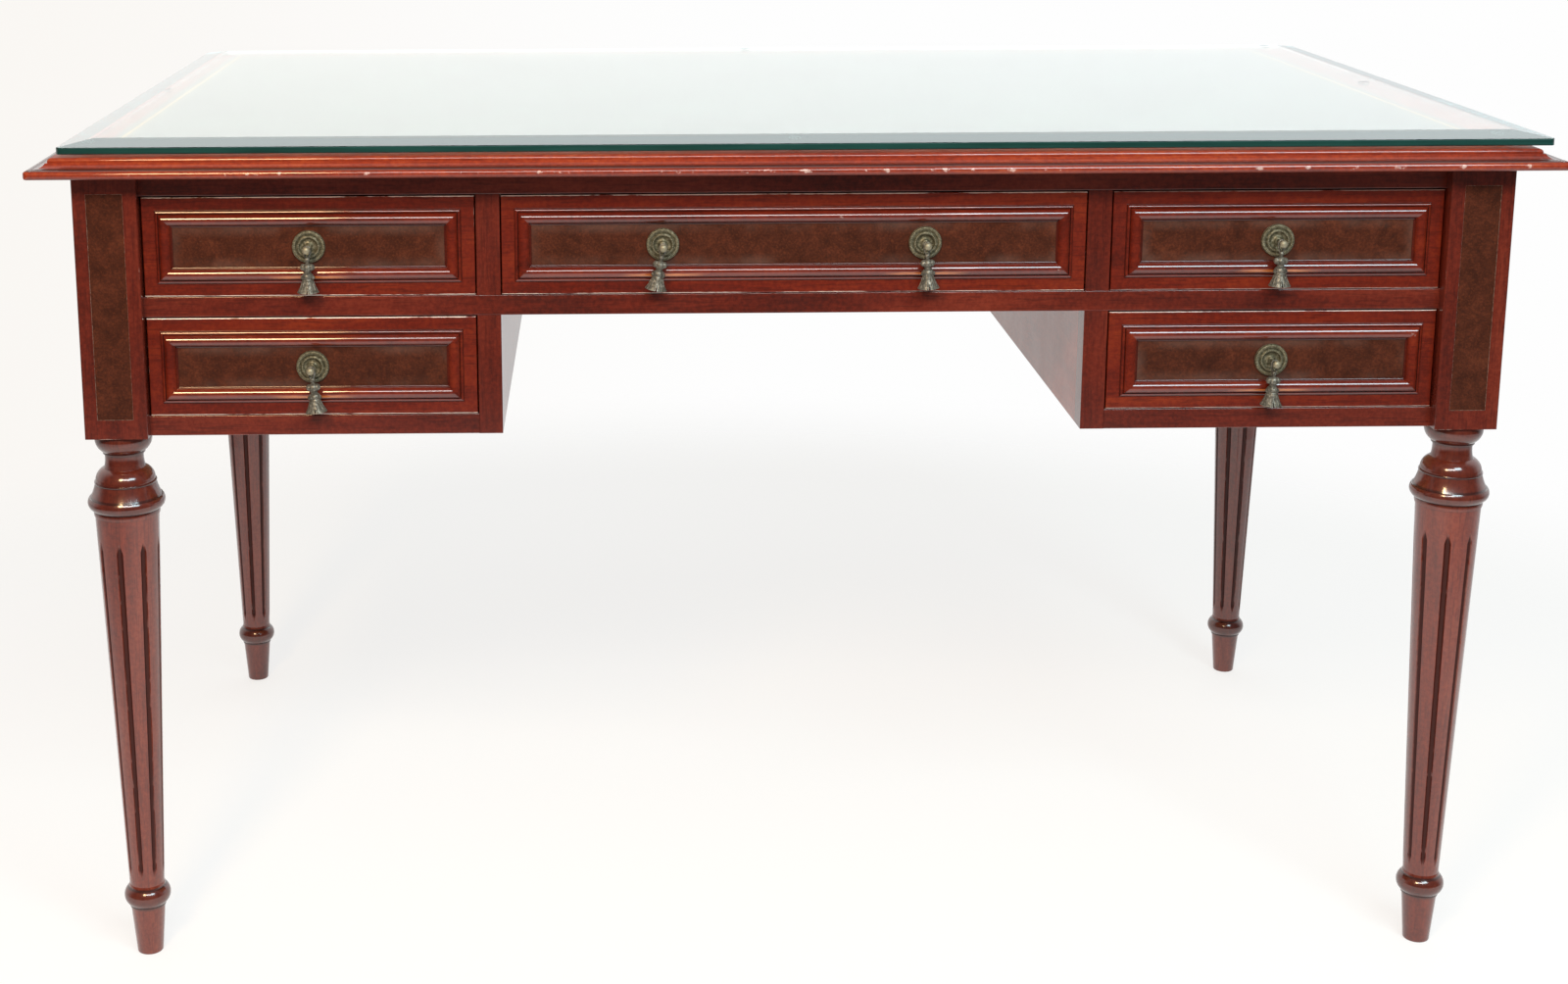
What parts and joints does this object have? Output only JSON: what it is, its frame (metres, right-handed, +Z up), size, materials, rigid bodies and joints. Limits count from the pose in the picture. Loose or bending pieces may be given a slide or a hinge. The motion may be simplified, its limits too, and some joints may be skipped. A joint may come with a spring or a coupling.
{
  "type": "office desk",
  "caption": "Mahogany writing desk with drawers round a kneehole, moulded panels, tassel pulls, turned fluted legs and a bevelled glass plate over a leather-lined top.",
  "frame": {"origin": "on the floor under the middle of the top", "axes": "+X to the right as seen from the front, +Y to the back, +Z up; the drawers open to -Y"},
  "size_m": [1.32, 0.8, 0.774],
  "materials": {
    "mahogany": "satin lacquer",
    "burl_veneer": "satin lacquer",
    "drawer_wood": "bare planed wood",
    "antique_brass": "aged, dull",
    "leather": "smooth, tooled gilt line",
    "glass": "polished, green edge",
    "clear_pad": "clear",
    "steel": "bright"
  },
  "bodies": {
    "carcass": {"back_panels": "mahogany", "drawer_kickers": "drawer_wood", "drawer_runners": "drawer_wood", "drawer_stops": "drawer_wood", "front_bottom_rails": "mahogany", "front_middle_rail": "mahogany", "front_stiles": "mahogany", "front_top_rail": "mahogany", "glass_pads": "clear_pad", "glass_plate": "glass", "kneehole_panel_left": "mahogany", "kneehole_panel_right": "mahogany", "leather_inset": "leather", "leg_front_left": "mahogany", "leg_front_right": "mahogany", "leg_rear_left": "mahogany", "leg_rear_right": "mahogany", "panel_mouldings": "mahogany", "panel_veneers": "burl_veneer", "post_front_left": "mahogany", "post_front_right": "mahogany", "post_inlays": "burl_veneer", "post_rear_left": "mahogany", "post_rear_right": "mahogany", "side_panel_left": "mahogany", "side_panel_right": "mahogany", "top_board": "mahogany", "top_screws": "steel"},
    "drawer_upper_left": {"drawer_upper_left_box": "drawer_wood", "drawer_upper_left_front": "mahogany", "drawer_upper_left_moulding": "mahogany", "drawer_upper_left_pull": "antique_brass", "drawer_upper_left_veneer": "burl_veneer"},
    "drawer_lower_left": {"drawer_lower_left_box": "drawer_wood", "drawer_lower_left_front": "mahogany", "drawer_lower_left_moulding": "mahogany", "drawer_lower_left_pull": "antique_brass", "drawer_lower_left_veneer": "burl_veneer"},
    "drawer_centre": {"drawer_centre_box": "drawer_wood", "drawer_centre_front": "mahogany", "drawer_centre_moulding": "mahogany", "drawer_centre_pull": "antique_brass", "drawer_centre_veneer": "burl_veneer"},
    "drawer_upper_right": {"drawer_upper_right_box": "drawer_wood", "drawer_upper_right_front": "mahogany", "drawer_upper_right_moulding": "mahogany", "drawer_upper_right_pull": "antique_brass", "drawer_upper_right_veneer": "burl_veneer"},
    "drawer_lower_right": {"drawer_lower_right_box": "drawer_wood", "drawer_lower_right_front": "mahogany", "drawer_lower_right_moulding": "mahogany", "drawer_lower_right_pull": "antique_brass", "drawer_lower_right_veneer": "burl_veneer"},
    "tassel_upper_left": {"tassel_upper_left": "antique_brass"},
    "tassel_lower_left": {"tassel_lower_left": "antique_brass"},
    "tassel_centre_left": {"tassel_centre_left": "antique_brass"},
    "tassel_centre_right": {"tassel_centre_right": "antique_brass"},
    "tassel_upper_right": {"tassel_upper_right": "antique_brass"},
    "tassel_lower_right": {"tassel_lower_right": "antique_brass"}
  },
  "joints": [
    {"name": "upper_left_slide", "type": "slide", "parent": "carcass", "child": "drawer_upper_left", "axis": [0, -1, 0], "range_m": [0, 0.36]},
    {"name": "lower_left_slide", "type": "slide", "parent": "carcass", "child": "drawer_lower_left", "axis": [0, -1, 0], "range_m": [0, 0.36]},
    {"name": "centre_slide", "type": "slide", "parent": "carcass", "child": "drawer_centre", "axis": [0, -1, 0], "range_m": [0, 0.36]},
    {"name": "upper_right_slide", "type": "slide", "parent": "carcass", "child": "drawer_upper_right", "axis": [0, -1, 0], "range_m": [0, 0.36]},
    {"name": "lower_right_slide", "type": "slide", "parent": "carcass", "child": "drawer_lower_right", "axis": [0, -1, 0], "range_m": [0, 0.36]},
    {"name": "upper_left_tassel_swing", "type": "hinge", "parent": "drawer_upper_left", "child": "tassel_upper_left", "pos_m": [-0.42475, -0.369, 0.6802], "axis": [-1, 0, 0], "range_deg": [-4, 31]},
    {"name": "lower_left_tassel_swing", "type": "hinge", "parent": "drawer_lower_left", "child": "tassel_lower_left", "pos_m": [-0.42499, -0.369, 0.57219], "axis": [-0.9954, 0, -0.0958], "range_deg": [-4, 31]},
    {"name": "centre_left_tassel_swing", "type": "hinge", "parent": "drawer_centre", "child": "tassel_centre_left", "pos_m": [-0.11456, -0.369, 0.68016], "axis": [-0.9848, 0, 0.1736], "range_deg": [-4, 31]},
    {"name": "centre_right_tassel_swing", "type": "hinge", "parent": "drawer_centre", "child": "tassel_centre_right", "pos_m": [0.11487, -0.369, 0.6802], "axis": [-0.9986, 0, -0.0523], "range_deg": [-4, 31]},
    {"name": "upper_right_tassel_swing", "type": "hinge", "parent": "drawer_upper_right", "child": "tassel_upper_right", "pos_m": [0.42475, -0.369, 0.6802], "axis": [-1, 0, 0], "range_deg": [-4, 31]},
    {"name": "lower_right_tassel_swing", "type": "hinge", "parent": "drawer_lower_right", "child": "tassel_lower_right", "pos_m": [0.42486, -0.369, 0.5722], "axis": [-0.999, 0, 0.0436], "range_deg": [-4, 31]}
  ]
}
